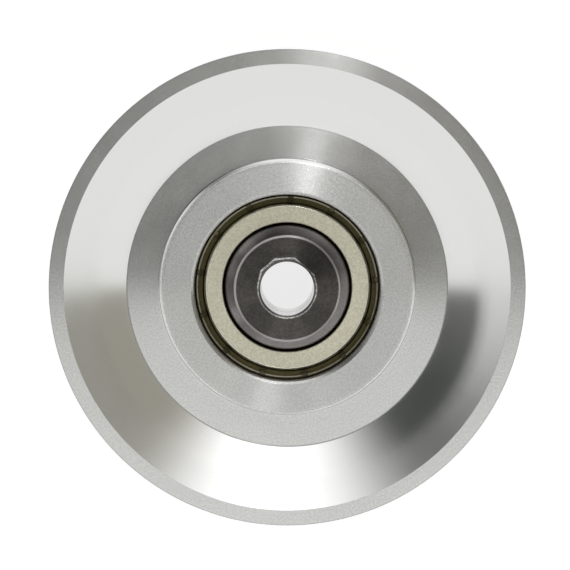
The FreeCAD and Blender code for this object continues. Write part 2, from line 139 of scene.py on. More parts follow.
# An outline carried once round the axis: (radius cos a, radius sin a, height). A field may then move every
# point, and the normal is the cross product of the two moved tangents, each measured over a step both ways.
def turnedSurface(name, outline, angles, field=None, zoneOf=None, step=0.004):
    point, normal = outline
    radius, height = point[None, :, 0], point[None, :, 1]
    cos, sin = np.cos(angles)[:, None], np.sin(angles)[:, None]
    full = np.ones_like(cos)
    points = np.stack([radius * cos, radius * sin, height * full], -1)
    normals = np.stack([normal[None, :, 0] * cos, normal[None, :, 0] * sin, normal[None, :, 1] * full], -1)
    if field is not None:
        along = np.stack([-normal[None, :, 1] * cos, -normal[None, :, 1] * sin, normal[None, :, 0] * full], -1)
        level = np.ones_like(radius)
        sideways = np.stack([-sin * level, cos * level, np.zeros_like(radius * cos)], -1)
        moved = [field(points + step * way) for way in (sideways, -sideways, along, -along)]
        normals = np.cross(moved[0] - moved[1], moved[2] - moved[3])
        normals /= np.linalg.norm(normals, axis=-1, keepdims=True)
        points = field(points)
    zones = None
    if zoneOf is not None:
        middle = (point + np.roll(point, -1, 0)) / 2
        zones = zoneOf(middle[:, 0], middle[:, 1])
    return gridMesh(name, points, normals, zones)


def evenAngles(count):
    return np.linspace(0, 2 * np.pi, count, endpoint=False)


# Rises smoothly from 0 to 1 between two values: s * s * (3 - 2 s) of the share s between them.
def rise(value, low, high):
    share = np.clip((value - low) / (high - low), 0, 1)
    return share * share * (3 - 2 * share)


def asPiece(name, mesh, materials, body, slot, *nodes):
    piece = bpy.data.objects.new(name, mesh)
    scene.collection.objects.link(piece)
    for material in materials:
        mesh.materials.append(material)
    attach(piece, body)
    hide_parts(*nodes)


# Puts a value, or the link that carries it, into a socket.
def feed(tree, value, socket):
    if isinstance(value, bpy.types.NodeSocket):
        tree.links.new(value, socket)
    else:
        socket.default_value = value


def addNode(tree, kind, inputs=(), **settings):
    node = tree.nodes.new("ShaderNode" + kind)
    for name, value in settings.items():
        setattr(node, name, value)
    for name, value in dict(inputs).items():
        feed(tree, value, node.inputs[name])
    return node


def calc(tree, operation, *values, clamp=False):
    return addNode(tree, "Math", enumerate(values), operation=operation, use_clamp=clamp).outputs[0]


def plus(tree, first, second, clamp=False):
    return calc(tree, "ADD", first, second, clamp=clamp)


def minus(tree, first, second):
    return calc(tree, "SUBTRACT", first, second)


def times(tree, first, second):
    return calc(tree, "MULTIPLY", first, second)


# A noise value's distance from its middle of one half, times an amount.
def swing(tree, value, amount):
    return times(tree, minus(tree, value, 0.5), amount)


# Value mapped smoothly from one range to another.
def ramp(tree, value, low, high, start=0.0, end=1.0, kind="SMOOTHSTEP"):
    inputs = {"Value": value, "From Min": low, "From Max": high, "To Min": start, "To Max": end}
    return addNode(tree, "MapRange", inputs, interpolation_type=kind).outputs[0]


# One between two radii, falling off to nothing over the blur at each.
def ringShare(tree, radius, low, high, blur):
    return times(tree, ramp(tree, radius, low - blur, low + blur),
                 ramp(tree, radius, high - blur, high + blur, 1.0, 0.0))


def blendColour(tree, share, first, second, mode="MIX"):
    node = tree.nodes.new("ShaderNodeMix")
    node.data_type = "RGBA"
    node.blend_type = mode
    for socket, value in ((0, share), (6, first), (7, second)):  # the sockets of its colour form
        feed(tree, value, node.inputs[socket])
    return node.outputs[2]


def opaque(colour, factor=1.0):
    return (*(factor * part for part in colour), 1)


def noise(tree, vector, scale, detail, roughness, **settings):
    inputs = {"Scale": scale, "Detail": detail, "Roughness": roughness}
    node = addNode(tree, "TexNoise", inputs, **settings)
    feed(tree, vector, node.inputs["W" if settings.get("noise_dimensions") == "1D" else "Vector"])
    return node.outputs[0]


# The place on a turned piece: its point, its radius and height in mm, its angle in turns, and the unit
# vector from the axis outwards.
def turnedPlace(tree):
    point = addNode(tree, "TexCoord").outputs["Object"]
    x, y, z = addNode(tree, "SeparateXYZ", {0: point}).outputs
    radius = calc(tree, "SQRT", plus(tree, times(tree, x, x), times(tree, y, y)))
    level = addNode(tree, "VectorMath", {0: point, 1: (1, 1, 0)}, operation="MULTIPLY").outputs[0]
    return {
        "point": point,
        "radius": times(tree, radius, 1 / mm),
        "height": times(tree, z, 1 / mm),
        "turns": calc(tree, "DIVIDE", calc(tree, "ARCTAN2", y, x), 2 * math.pi),
        "outward": addNode(tree, "VectorMath", {0: level}, operation="NORMALIZE").outputs[0],
    }


def newMaterial(name, colour):
    material = bpy.data.materials.new(name)
    material.use_nodes = True
    material.diffuse_color = opaque(colour)
    tree = material.node_tree
    tree.nodes.clear()
    shader = addNode(tree, "BsdfPrincipled")
    output = addNode(tree, "OutputMaterial")
    tree.links.new(shader.outputs[0], output.inputs[0])
    return material, tree, shader


# The height of a cut face in metres, for its bump. Feed marks are a sine along the profile with a wandering
# phase, grain and streaks are noise, and lean tips the face a little outwards, as a pointed tool leaves it.
def cutHeight(tree, finish, place, profile, grain, streak):
    wander = noise(tree, profile, *finish["wanderNoise"], noise_dimensions="1D")
    phase = plus(tree, calc(tree, "DIVIDE", profile, finish["feedPitch"]), times(tree, wander, finish["wander"]))
    marks = times(tree, calc(tree, "SINE", times(tree, phase, 2 * math.pi)), finish["feedDepth"] * mm)
    height = plus(tree, marks, times(tree, grain, finish["grainDepth"] * mm))
    height = plus(tree, height, times(tree, streak, finish["streakDepth"] * mm))
    if finish["lean"]:
        height = minus(tree, height, times(tree, place["radius"], finish["lean"] * mm))
    for edge, lean in finish["passes"]:  # a later tool pass outside this radius leans the other way
        beyond = calc(tree, "SMOOTH_MAX", minus(tree, place["radius"], edge), 0.0, finish["passBlur"])
        height = plus(tree, height, times(tree, beyond, lean * mm))
    return height


# Metal cut on a lathe: its colour runs between dark and colour with the noise, and is then changed by rings,
# shade painted at notches, pale edges, and light and shade painted towards angles, as far as the finish has them.
def turnedMetal(name, finish):
    material, tree, shader = newMaterial(name, finish["colour"])
    place = turnedPlace(tree)
    radius, point = place["radius"], place["point"]
    onWall = finish["runsAlong"] == "axis"
    profile = place["height"] if onWall else radius
    grain = noise(tree, point, 1 / (finish["grainSize"] * mm), *finish["grainNoise"])
    patch = noise(tree, point, 1 / (finish["patchSize"] * mm), *finish["patchNoise"])
    # streaks are noise squeezed across the cut, so that they follow it as long arcs
    outwardX, outwardY, _ = addNode(tree, "SeparateXYZ", {0: place["outward"]}).outputs
    track = addNode(tree, "CombineXYZ", {0: times(tree, profile, finish["streakFine"]),
                                         1: times(tree, outwardX, finish["streakLong"]),
                                         2: times(tree, outwardY, finish["streakLong"])}).outputs[0]
    streak = noise(tree, track, *finish["streakNoise"])
    height = cutHeight(tree, finish, place, profile, grain, streak)
    bump = addNode(tree, "Bump", {"Strength": 1.0, "Distance": 1.0, "Height": height})

    tone = plus(tree, swing(tree, patch, finish["patchShare"]), swing(tree, streak, finish["streakTone"]))
    tone = plus(tree, tone, swing(tree, grain, finish["grainTone"]))
    tone = plus(tree, tone, 0.5, clamp=True)
    colour = blendColour(tree, tone, opaque(finish["dark"]), opaque(finish["colour"]))
    roughness = plus(tree, finish["roughness"] - 0.5 * finish["roughShare"],
                     times(tree, patch, finish["roughShare"]), clamp=True)
    if finish["passes"]:
        edge, blur = finish["passes"][0][0], finish["passBlur"]
        share = ramp(tree, radius, edge - blur, edge + blur)
        roughness = plus(tree, roughness, times(tree, share, finish["passRoughness"]), clamp=True)
    for low, high, blur, ringColour, ringRoughness in finish["rings"]:
        share = ringShare(tree, radius, low, high, blur)
        shade = blendColour(tree, tone, opaque(ringColour, finish["ringDark"]), opaque(ringColour))
        colour = blendColour(tree, share, colour, shade)
        roughness = plus(tree, times(tree, roughness, minus(tree, 1.0, share)), times(tree, share, ringRoughness))
    # Painted shade: a dark patch in the valley at each crimp notch.
    if finish["notches"]:  # a dark blot before each notch
        count, turn, low, high, blur, notchShade = finish["notches"]
        wave = minus(tree, place["turns"], turn / 360)
        wave = calc(tree, "COSINE", times(tree, wave, 2 * math.pi * count))
        share = times(tree, ramp(tree, wave, *finish["notchShadeWave"]), ringShare(tree, radius, low, high, blur))
        colour = blendColour(tree, share, colour, opaque(notchShade))
    # Paler rings along edges, their border ragged with the streak noise.
    for edgeRadius, edgeHeight, reach, edgeColour in finish["paleEdges"]:
        across = calc(tree, "ABSOLUTE", minus(tree, radius, edgeRadius))
        below = calc(tree, "ABSOLUTE", minus(tree, calc(tree, "ABSOLUTE", place["height"]), edgeHeight))
        away = plus(tree, plus(tree, across, below), swing(tree, streak, reach * finish["paleEdgeRagged"]))
        share = ramp(tree, away, reach, reach * finish["paleEdgeCore"])
        colour = blendColour(tree, share, colour, opaque(edgeColour))
    # Painted light and shade: the colour darker (factor below one) or lighter (above one) towards an angle, for
    # how the light falls on that side.
    for around, width, factor in finish["paintedLightAndShade"]:  # darker or lighter towards an angle, in degrees
        towards = (math.cos(math.radians(around)), math.sin(math.radians(around)), 0)
        facing = addNode(tree, "VectorMath", {0: place["outward"], 1: towards}, operation="DOT_PRODUCT")
        share = ramp(tree, facing.outputs["Value"], math.cos(math.radians(width)), 1.0)
        share = times(tree, share, plus(tree, finish["lightAndShadeEven"], times(tree, streak, finish["lightAndShadeStreak"])))
        tint = blendColour(tree, share, (1, 1, 1, 1), opaque((factor, factor, factor)))
        colour = blendColour(tree, 1.0, colour, tint, "MULTIPLY")

    feed(tree, colour, shader.inputs["Base Color"])
    feed(tree, 1.0, shader.inputs["Metallic"])
    feed(tree, roughness, shader.inputs["Roughness"])
    feed(tree, finish["anisotropy"], shader.inputs["Anisotropic"])
    feed(tree, bump.outputs[0], shader.inputs["Normal"])
    if finish["anisotropy"]:
        if onWall:
            spread = addNode(tree, "CombineXYZ", {2: 1.0}).outputs[0]
        else:
            spread = addNode(tree, "VectorTransform", {0: place["outward"]}, vector_type="VECTOR",
                             convert_from="OBJECT", convert_to="WORLD").outputs[0]
        feed(tree, spread, shader.inputs["Tangent"])
    return material


# Sizes and depths are in mm. Each noise is (detail, roughness), with its scale in front where it is fixed.
aluminium = {
    "colour": (0.95, 0.95, 0.94), "dark": (0.75, 0.75, 0.74), "roughness": 0.24, "roughShare": 0.04,
    "anisotropy": 0.9, "runsAlong": "radius", "lean": 0.0,
    "feedPitch": 0.16, "feedDepth": 0.00025, "wander": 3.0, "wanderNoise": (3.0, 3.0, 0.5),
    "grainSize": 0.36, "grainDepth": 0.0016, "grainTone": 1.0, "grainNoise": (2.0, 0.6),
    "patchSize": 5.0, "patchShare": 0.5, "patchNoise": (3.0, 0.55),
    "streakFine": 9.0, "streakLong": 2.0, "streakDepth": 0.0006, "streakTone": 0.4, "streakNoise": (1.0, 3.0, 0.6),
    "passes": [], "passBlur": 1.6, "passRoughness": 0.08,   # (from radius, lean)
    "rings": [], "ringDark": 0.75,                          # (from radius, to radius, blur, colour, roughness)
    # The notches' colour is painted shade at each crimp notch.
    "notches": None, "notchShadeWave": (0.72, 0.97),             # (count, turn, from radius, to radius, blur, colour)
    "paleEdges": [], "paleEdgeRagged": 1.2, "paleEdgeCore": 0.6,   # (radius, height, reach, colour)
    # Painted light and shade towards angles: a factor below one paints shade, above one paints light.
    "paintedLightAndShade": [], "lightAndShadeEven": 0.55, "lightAndShadeStreak": 0.9,    # (towards, half width, factor), angles in degrees
}
# Greys of painted shade: the first on the rim's rounded edge and in the crease at the hub's foot, the second in
# the valley between web and dish.
edgeShadeGrey = (0.5, 0.5, 0.49)
valleyShadeGrey = (0.6, 0.6, 0.59)

# Painted shade: a grey ring at the web's outer end, in the valley where it meets the dish. Painted light: the web
# lighter towards +Y.
webMetal = turnedMetal("web_aluminium", {
    **aluminium, "colour": (0.9, 0.9, 0.89), "dark": (0.71, 0.71, 0.7), "lean": 0.05, "roughness": 0.225,
    "anisotropy": 0.82, "grainTone": 2.0, "rings": [(31.16, 33.0, 0.04, valleyShadeGrey, 0.3)],
    "paintedLightAndShade": [(90.0, 75.0, 1.22)],
})
# Painted shade: a grey ring on the rim's rounded front edge. Painted light: the rim a little lighter towards +Y.
rimMetal = turnedMetal("rim_aluminium", {
    **aluminium, "colour": (0.91, 0.91, 0.9), "lean": 0.032, "roughness": 0.235, "anisotropy": 0.8,
    "grainTone": 2.2, "rings": [(45.87, 47.0, 0.03, edgeShadeGrey, 0.3)], "paintedLightAndShade": [(90.0, 80.0, 1.08)],
})
# Painted shade: a grey line where the foot's fillet meets the web, and the fillet darker towards +Y.
footMetal = turnedMetal("foot_aluminium", {
    **aluminium, "dark": (0.93, 0.93, 0.92), "roughness": 0.08, "anisotropy": 0.0, "grainDepth": 0.0005,
    "streakDepth": 0.0, "rings": [(24.93, 25.1, 0.03, edgeShadeGrey, 0.3)], "paintedLightAndShade": [(90.0, 85.0, 0.68)],
})
# Painted shade: the hub face darker in a band towards -98 degrees.
hubMetal = turnedMetal("hub_aluminium", {
    **aluminium, "colour": (0.96, 0.96, 0.95), "dark": (0.8, 0.8, 0.79), "roughness": 0.27, "anisotropy": 0.95,
    "grainTone": 3.4, "grainDepth": 0.0004, "feedDepth": 0.0001, "streakDepth": 0.0002,
    "paintedLightAndShade": [(-98.0, 26.0, 0.86)],
})
# Painted shade: a grey ring at the dish's inner end, in the valley.
dishMetal = turnedMetal("dish_aluminium", {
    **aluminium, "dark": (0.85, 0.85, 0.84), "roughness": 0.16, "anisotropy": 0.5, "lean": 0.07,
    "passes": [(37.0, 0.12), (39.0, 0.05)], "grainDepth": 0.001, "grainTone": 0.5, "patchShare": 0.2,
    "rings": [(30.0, 31.4, 0.03, valleyShadeGrey, 0.3)],
})
grooveMetal = turnedMetal("groove_aluminium", {
    **aluminium, "colour": (0.66, 0.66, 0.65), "dark": (0.46, 0.46, 0.455), "roughness": 0.3,
    "anisotropy": 0.7, "streakTone": 1.2,
})
wallMetal = turnedMetal("wall_aluminium", {
    **aluminium, "runsAlong": "axis", "roughness": 0.25, "anisotropy": 0.8,
})
print("aluminium ready")


wheelSizes = {
    "rim": 46.0, "tip": 7.654, "tipBreak": 0.25, "face": 9.75, "dishOuter": 43.1, "dishInner": 31.35, "web": 3.6,
    "hub": 24.45, "foot": (0.66, 0.46), "break": 0.05, "hubBreak": 0.25, "lip": 18.0, "lipChamfer": 0.6,
    "lipBreak": (18.12, 9.41), "seat": 20.0, "lipBack": 6.0, "clipOuter": 21.25, "clipLow": -7.85,
    "ropeRound": 3.5, "ropeCentre": 31.376, "soft": 0.06, "segments": 512,
}


def wheelOutline(w):
    slope = math.atan2(w["face"] - w["web"], w["dishOuter"] - w["dishInner"])
    tipIn = (w["rim"] - w["tipBreak"] * math.cos(slope), w["tip"] - w["tipBreak"] * math.sin(slope))
    front = [
        (*tipIn, 0.1),
        (w["rim"], w["tip"] + w["tipBreak"], 0.08),
        (w["rim"], w["face"] - w["break"], 0.03),
        (w["rim"] - w["break"], w["face"], 0.03),
        (w["dishOuter"], w["face"], w["soft"]),
        (w["dishInner"], w["web"], w["soft"] * 2),
        (w["hub"] + w["foot"][0], w["web"], 0.12),
        (w["hub"], w["web"] + w["foot"][1], 0.12),
        (w["hub"], w["face"] - w["hubBreak"], 0.08),
        (w["hub"] - w["hubBreak"], w["face"], 0.08),
    ]
    bore = [
        (w["lip"] + w["lipChamfer"], w["face"], 0.06),
        (*w["lipBreak"], 0.05),
        (w["lip"], w["face"] - w["lipChamfer"], 0.05),
        (w["lip"], w["lipBack"], 0.04),
        (w["seat"], w["lipBack"], 0.04),
        (w["seat"], -w["lipBack"], 0.05),
        (w["clipOuter"], -w["lipBack"], 0.04),
        (w["clipOuter"], w["clipLow"], 0.04),
        (w["seat"], w["clipLow"], 0.05),
        (w["seat"], w["lipChamfer"] - w["face"], 0.06),
        (w["seat"] + w["lipChamfer"], -w["face"], 0.06),
    ]
    return roundedOutline(flipped(front) + [(w["ropeCentre"], 0, w["ropeRound"])] + front + bore)


rim, face, dishOuter, hub = (wheelSizes[name] for name in ("rim", "face", "dishOuter", "hub"))
lipEdge = 18.1
wheelWear = {
    "reach": 0.3, "waves": (3, 7, 13, 23, 41),
    # (radius, height, depth, way): way is -1 where the edge is worn inwards, 1 outwards, 0 only down
    "edges": [(rim, face, 0.006, -1), (rim, -face, 0.006, -1), (dishOuter, face, 0.005, 0),
              (hub, face, 0.012, -1), (hub, -face, 0.012, -1), (lipEdge, 9.4, 0.012, 1)],
    # (edge radius, angle in degrees, half length, depth)
    "nicks": [(dishOuter, 182.1, 0.2, 0.008), (hub, 131, 0.6, 0.004), (lipEdge, 20, 0.5, 0.02),
              (rim, 250, 0.4, 0.02)],
}


# Edge wear: each edge circle is pushed back by a slow random wave round it and by a few small nicks,
# times exp(-(distance from the edge / reach) ** 2).
def edgeWear(w):
    waves = [(count, dice.uniform(0, 2 * np.pi), dice.uniform(0.3, 1.0)) for count in w["waves"]]

    def field(points):
        radius = np.hypot(points[..., 0], points[..., 1])
        angle = np.arctan2(points[..., 1], points[..., 0])
        wave = sum(size * np.sin(count * angle + phase) for count, phase, size in waves) / len(waves)
        push = np.zeros_like(radius)
        lift = np.zeros_like(radius)
        for edgeRadius, edgeHeight, depth, way in w["edges"]:
            away = (radius - edgeRadius) ** 2 + (points[..., 2] - edgeHeight) ** 2
            near = np.exp(-away / w["reach"] ** 2)
            amount = depth * (1 + wave)
            for nickEdge, nickAngle, nickSize, nickDepth in w["nicks"]:
                if nickEdge == edgeRadius and edgeHeight > 0:
                    offset = np.angle(np.exp(1j * (angle - math.radians(nickAngle)))) * edgeRadius
                    amount = amount + nickDepth * np.exp(-(offset / nickSize) ** 2)
            push += way * amount * near
            lift -= np.sign(edgeHeight) * amount * near
        scale = (radius + push) / radius
        return np.stack([points[..., 0] * scale, points[..., 1] * scale, points[..., 2] + lift], -1)

    return field


# How far each cut face of the wheel runs past the sharp corner of the outline, so that a corner's rounding
# falls on the right side, in mm.
zoneEdges = {"dish": 0.1, "mouth": 1.0, "rim": (0.05, 0.15), "web": 0.1, "hub": 0.3, "foot": (0.02, 0.72, 0.6)}


# Which cut face of the wheel a place of the outline belongs to, as the number of its metal: 0 hub, 1 web,
# 2 dish, 3 rim, 4 groove, 5 wall, 6 foot.
def wheelZone(radius, height):
    w, e = wheelSizes, zoneEdges
    depth = np.abs(height)
    slope = (w["face"] - w["web"]) / (w["dishOuter"] - w["dishInner"])
    dishDepth = w["web"] + (radius - w["dishInner"]) * slope - e["dish"]
    onDish = (radius > w["dishInner"]) & (radius < w["dishOuter"]) & (depth > dishDepth)
    inGroove = (radius > w["dishInner"]) & ~onDish & (depth < w["face"] - e["mouth"])
    onRimSide = (radius > w["rim"] - e["rim"][0]) & (depth < w["face"] - e["rim"][1])
    zone = np.zeros(len(radius), int)
    zone[radius > w["hub"] + e["web"]] = 1
    zone[onDish] = 2
    zone[(radius >= w["dishOuter"]) & (depth > w["tip"])] = 3
    zone[inGroove | onRimSide] = 4
    zone[(radius < w["hub"] + e["web"]) & (depth < w["face"] - e["hub"])] = 5
    low, high, deep = e["foot"]
    zone[(radius > w["hub"] + low) & (radius < w["hub"] + high) & (depth < w["web"] + deep)] = 6
    return zone


wheelMesh = turnedSurface("wheel_body", supported(*wheelOutline(wheelSizes)), evenAngles(wheelSizes["segments"]),
                          edgeWear(wheelWear), wheelZone)
asPiece("wheel_body", wheelMesh, [hubMetal, webMetal, dishMetal, rimMetal, grooveMetal, wallMetal, footMetal],
        "wheel", "turned_aluminium", "sheave")
print("wheel", len(wheelMesh.polygons) * 2, "triangles")


# Painted shade: near-black rings in the slot at the inner ring's edge and in the gap under the lip, and a darker
# olive ring on the shoulder under the shield's rim. Painted light and shade: the faces darker towards four angles
# and lighter towards one.
ringFinish = {
    **aluminium, "colour": (0.52, 0.49, 0.49), "dark": (0.30, 0.28, 0.28), "roughness": 0.3, "roughShare": 0.1,
    "anisotropy": 0.7, "feedDepth": 0.0004, "grainDepth": 0.002, "patchSize": 2.5, "patchShare": 0.8,
    "streakFine": 14.0, "streakLong": 1.2, "streakDepth": 0.0012, "streakTone": 1.4,
    "rings": [(12.03, 12.9, 0.02, (0.012, 0.010, 0.007), 0.6), (16.5, 17.72, 0.02, (0.34, 0.31, 0.2), 0.5),
              (17.72, 18.6, 0.02, (0.02, 0.017, 0.01), 0.5)],
    "paintedLightAndShade": [(92.0, 34.0, 0.45), (185.0, 22.0, 0.55), (228.0, 16.0, 0.7), (136.0, 13.0, 1.5),
               (30.0, 25.0, 0.75)],
}
ringMetal = turnedMetal("ring_steel", ringFinish)
ringSizes = {
    "bore": 8.5, "edge": 12.0, "land": 12.62, "landEnd": 5.1, "outer": 20.0, "recess": 17.7, "outerLand": 16.565,
    "width": 6.0, "shieldFloor": 4.5, "chamfer": 0.6, "break": 0.25, "raceRound": 3.5,
    "innerRace": 7.246, "innerRaceEnd": 3.08, "outerRace": 19.27, "outerRaceEnd": 2.6,
    "sagitta": 0.004, "segments": 360,
}


def innerRingOutline(r):
    upper = [
        (r["innerRace"], 0, r["raceRound"]),
        (r["land"], r["innerRaceEnd"], 0.05),
        (r["land"], r["landEnd"], 0.05),
        (r["edge"], r["landEnd"], 0.05),
        (r["edge"], r["width"] - r["break"], 0.1),
        (r["edge"] - r["break"], r["width"], 0.1),
        (r["bore"] + r["chamfer"], r["width"], 0.15),
        (r["bore"], r["width"] - r["chamfer"], 0.15),
    ]
    return roundedOutline(flipped(upper[1:]) + upper, r["sagitta"])


def outerRingOutline(r):
    upper = [
        (r["outer"], r["width"] - r["chamfer"], 0.2),
        (r["outer"] - r["chamfer"], r["width"], 0.2),
        (r["recess"], r["width"], 0.1),
        (r["recess"], r["shieldFloor"], 0.1),
        (r["outerLand"], r["shieldFloor"], 0.08),
        (r["outerLand"], r["outerRaceEnd"], 0.05),
        (r["outerRace"], 0, r["raceRound"]),
    ]
    return roundedOutline(flipped(upper[:-1]) + upper, r["sagitta"])


innerMesh = turnedSurface("inner_ring", innerRingOutline(ringSizes), evenAngles(ringSizes["segments"]))
asPiece("inner_ring", innerMesh, [ringMetal], "axle", "bearing_steel", "bearing_inner_ring")
outerMesh = turnedSurface("outer_ring", outerRingOutline(ringSizes), evenAngles(ringSizes["segments"]))
asPiece("outer_ring", outerMesh, [ringMetal], "wheel", "bearing_steel", "bearing_outer_ring")


shieldSizes = {
    "inner": 12.557, "flatEdge": 15.86, "stepEdge": 16.46, "curl": 17.25, "outer": 17.7, "floor": 4.5,
    "drop": 0.85, "curlRise": 0.35, "sheet": 0.4, "sagitta": 0.004, "spacing": 0.45,
    "notches": 13, "notchHalf": 0.5, "notchDepth": 0.75, "notchFlank": (0.75, 1.15), "notchDraw": 0.93,
    "perNotch": 44, "crowding": 0.85, "turn": 87.6, "rearTurn": 0.0,
}
# Partly painted highlight: a paler band on the flat's bent edge, whose smoother finish also catches real light.
# Painted shade: the dark olive valley, and the curled rim greyer than the sheet.
shieldFinish = {
    **aluminium, "colour": (0.98, 0.95, 0.79), "dark": (0.80, 0.76, 0.60), "roughness": 0.5, "roughShare": 0.06,
    "anisotropy": 0.0, "feedDepth": 0.0, "feedPitch": 0.4, "grainSize": 0.4, "grainDepth": 0.03, "grainTone": 3.0,
    "patchSize": 3.0, "patchShare": 0.3, "streakDepth": 0.001, "streakTone": 0.2, "lean": 0.05,
    "rings": [(15.74, 15.98, 0.03, (1.0, 0.98, 0.88), 0.16), (16.15, 17.4, 0.14, (0.11, 0.095, 0.045), 0.34),
              (17.52, 17.7, 0.03, (0.6, 0.58, 0.5), 0.3)],
}


def shieldMetal(name, turn):
    # Painted shade at each crimp notch.
    notchShade = (0.055, 0.048, 0.025)
    return turnedMetal(name, {**shieldFinish, "notches": (shieldSizes["notches"], turn, 16.35, 17.3, 0.12, notchShade)})


def shieldOutline(s):
    top = s["floor"] + s["sheet"]
    return roundedOutline([
        (s["inner"], s["floor"] + s["drop"], 0.1),
        (s["flatEdge"], s["floor"] + s["drop"], 0.12),
        (s["stepEdge"], s["floor"], 0.35),
        (s["curl"], s["floor"], 0.15),
        (s["outer"], s["floor"] + s["curlRise"], 0.12),
        (s["outer"], top + s["curlRise"], 0.12),
        (s["curl"], top, 0.12),
        (s["stepEdge"], top, 0.12),
        (s["flatEdge"], top + s["drop"], 0.25),
        (s["inner"], top + s["drop"], 0.2),
    ], s["sagitta"])


# The crimp notches: within half a notch of each notch's middle, everything beyond the notch's foot is drawn
# in towards the foot, fading at its flanks.
def shieldNotches(s, turn):
    foot = s["outer"] - s["notchDepth"]
    pitch = 2 * np.pi / s["notches"]
    flank = [s["notchHalf"] * share for share in s["notchFlank"]]

    def field(points):
        radius = np.hypot(points[..., 0], points[..., 1])
        angle = np.arctan2(points[..., 1], points[..., 0]) - math.radians(turn)
        offset = np.abs((angle + pitch / 2) % pitch - pitch / 2) * s["curl"]
        depth = 1 - rise(offset, *flank)
        drawn = foot + np.maximum(radius - foot, 0) * (1 - s["notchDraw"] * depth)
        scale = np.where(radius > foot, drawn, radius) / radius
        return np.stack([points[..., 0] * scale, points[..., 1] * scale, points[..., 2]], -1)

    return field


# Angles that crowd together at each notch: even steps less a sine of the same period.
def notchAngles(s, turn):
    step = np.arange(s["notches"] * s["perNotch"]) / s["perNotch"]
    crowded = step - s["crowding"] * np.sin(2 * np.pi * step) / (2 * np.pi)
    return math.radians(turn) + crowded * 2 * np.pi / s["notches"]


# A half turn about X: (x, y, z) becomes (x, -y, -z), which keeps the faces outward.
def halfTurned(field=None):
    over = np.array([1, -1, -1])
    return (lambda points: field(points) * over) if field else (lambda points: points * over)


shieldLine = refined(*shieldOutline(shieldSizes), shieldSizes["spacing"])
frontTurn, rearTurn = shieldSizes["turn"], shieldSizes["rearTurn"]
shieldMesh = turnedSurface("shield_front", shieldLine, notchAngles(shieldSizes, frontTurn),
                           shieldNotches(shieldSizes, frontTurn))
asPiece("bearing_shield_front", shieldMesh, [shieldMetal("shield_steel", frontTurn)],
        "wheel", "shield_steel", "shield_front")
rearMesh = turnedSurface("shield_rear", shieldLine, notchAngles(shieldSizes, rearTurn),
                         halfTurned(shieldNotches(shieldSizes, rearTurn)))
asPiece("bearing_shield_rear", rearMesh, [shieldMetal("shield_steel_rear", rearTurn)],
        "wheel", "shield_steel", "shield_rear")
print("bearing", len(shieldMesh.polygons) * 2, "triangles in a shield")


# Painted highlight: a paler ring along the front end's chamfer. Painted shade: the end face darker towards three
# angles.
bushFinish = {
    **aluminium, "colour": (0.17, 0.16, 0.15), "dark": (0.07, 0.065, 0.06), "roughness": 0.36, "roughShare": 0.12,
    "anisotropy": 0.4, "feedPitch": 0.25, "feedDepth": 0.0004, "grainSize": 0.3, "grainDepth": 0.003,
    "grainTone": 1.4, "patchSize": 1.6, "patchShare": 0.8, "lean": 0.07,
    "streakFine": 8.0, "streakLong": 1.5, "streakDepth": 0.001, "streakTone": 0.8,
    "rings": [(0.0, 5.2, 0.03, (0.80, 0.80, 0.79), 0.2)],
    "paintedLightAndShade": [(45.0, 38.0, 0.5), (-45.0, 30.0, 0.75), (-135.0, 30.0, 0.7)],
    "paleEdges": [(10.06, 12.26, 0.5, (0.50, 0.48, 0.47)), (5.2, 0.0, 0.4, (0.30, 0.29, 0.28))],
}
bushMetal = turnedMetal("bush_steel", bushFinish)
sinkMetal = turnedMetal("countersink_steel", {
    **bushFinish, "colour": (0.80, 0.78, 0.76), "dark": (0.2, 0.19, 0.18), "roughness": 0.45, "anisotropy": 0.0,
    "rings": [], "paleEdges": [], "streakTone": 3.0, "streakFine": 4.0, "streakLong": 9.0,
})
bushSizes = {
    "hole": 5.15, "spigot": 8.5, "flange": 10.3, "seat": 6.0, "end": 12.5, "chamfer": 0.48, "break": 0.25,
    "sink": 0.6, "sinkDepth": 0.5, "sinkEdge": (5.5, 12.27), "segments": 480, "spacing": 0.8,
    "sinkBand": (5.5, 5.83, 12.1),                # the countersink's own metal: from radius, to radius, above
    "sinkFade": (0.05, 0.1, 2.2),                 # how far within and beyond the rim its corners still draw
    "sinkBelow": (1.2, 0.1),                      # and how far below the end face
    # where the chattered countersink has its corners: degrees from +X, and radius
    "sinkCorners": [(24.0, 6.0), (76.5, 6.22), (112.5, 6.3), (145.5, 6.2), (172.0, 5.8)],
}


def bushOutline(b):
    return roundedOutline([
        (b["hole"] + b["break"], 0, 0.06),
        (b["spigot"] - b["break"], 0, 0.06),
        (b["spigot"], b["break"], 0.06),
        (b["spigot"], b["seat"], 0.1),
        (b["flange"], b["seat"], 0.12),
        (b["flange"], b["end"] - b["chamfer"], 0.08),
        (b["flange"] - b["chamfer"], b["end"], 0.08),
        (b["hole"] + b["sink"], b["end"], 0.06),
        (*b["sinkEdge"], 0.03),
        (b["hole"], b["end"] - b["sinkDepth"], 0.08),
        (b["hole"], b["break"], 0.06),
    ])


